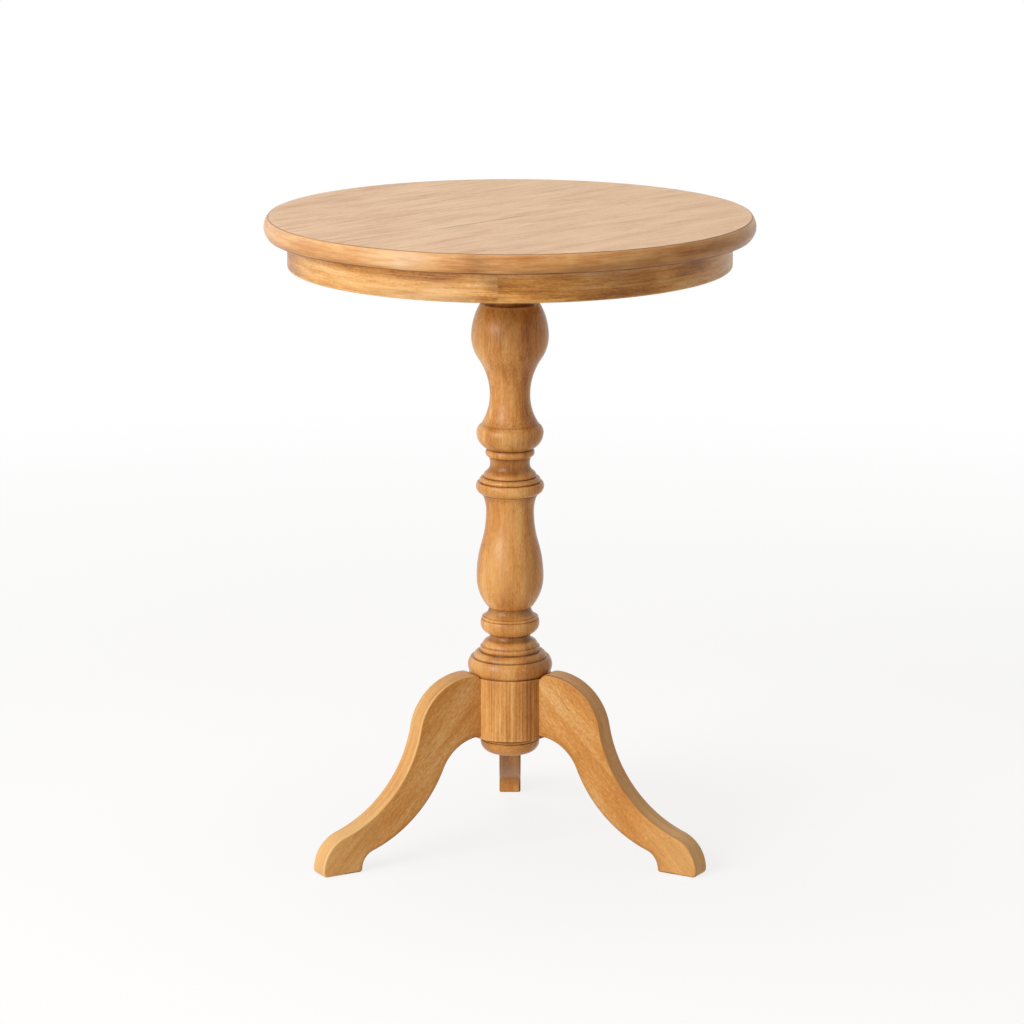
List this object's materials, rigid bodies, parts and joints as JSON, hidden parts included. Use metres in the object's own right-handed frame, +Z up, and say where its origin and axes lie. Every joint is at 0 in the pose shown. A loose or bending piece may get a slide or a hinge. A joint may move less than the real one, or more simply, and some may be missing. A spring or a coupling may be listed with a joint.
{
  "type": "wine table",
  "caption": "Round wine table: rounded-edge board top on a plain round apron, carried by a turned baluster column on flat sawn S-curved legs.",
  "frame": {"origin": "on the floor under the column's axis, at the centre of the round top's footprint", "axes": "+Z up along the column, -Y towards the front of the picture, +Y along the back leg, +X to the right"},
  "size_m": [0.5, 0.5, 0.666],
  "materials": {
    "top_wood": "satin lacquer, pale honey",
    "apron_wood": "satin lacquer, golden honey",
    "column_wood": "satin lacquer, warm honey",
    "leg_wood": "satin lacquer, warm honey",
    "hidden_wood": "bare planed wood",
    "screw_steel": "bright drawn steel"
  },
  "bodies": {
    "root": {"top_board_1": "top_wood", "top_board_2": "top_wood", "top_board_3": "top_wood", "top_board_4": "top_wood", "top_spline_1": "hidden_wood", "top_spline_2": "hidden_wood", "top_spline_3": "hidden_wood", "bearer": "hidden_wood", "bearer_screws": "screw_steel", "apron_segment_1": "apron_wood", "apron_segment_2": "apron_wood", "apron_segment_3": "apron_wood", "apron_segment_4": "apron_wood", "apron_segment_5": "apron_wood", "apron_segment_6": "apron_wood", "apron_dowels": "hidden_wood", "glue_block_1": "hidden_wood", "glue_block_2": "hidden_wood", "glue_block_3": "hidden_wood", "glue_block_4": "hidden_wood", "glue_block_5": "hidden_wood", "glue_block_6": "hidden_wood", "block_screws": "screw_steel", "column": "column_wood", "tenon_wedge": "hidden_wood", "leg_back": "leg_wood", "leg_left": "leg_wood", "leg_right": "leg_wood", "base_cap": "column_wood"}
  },
  "joints": []
}
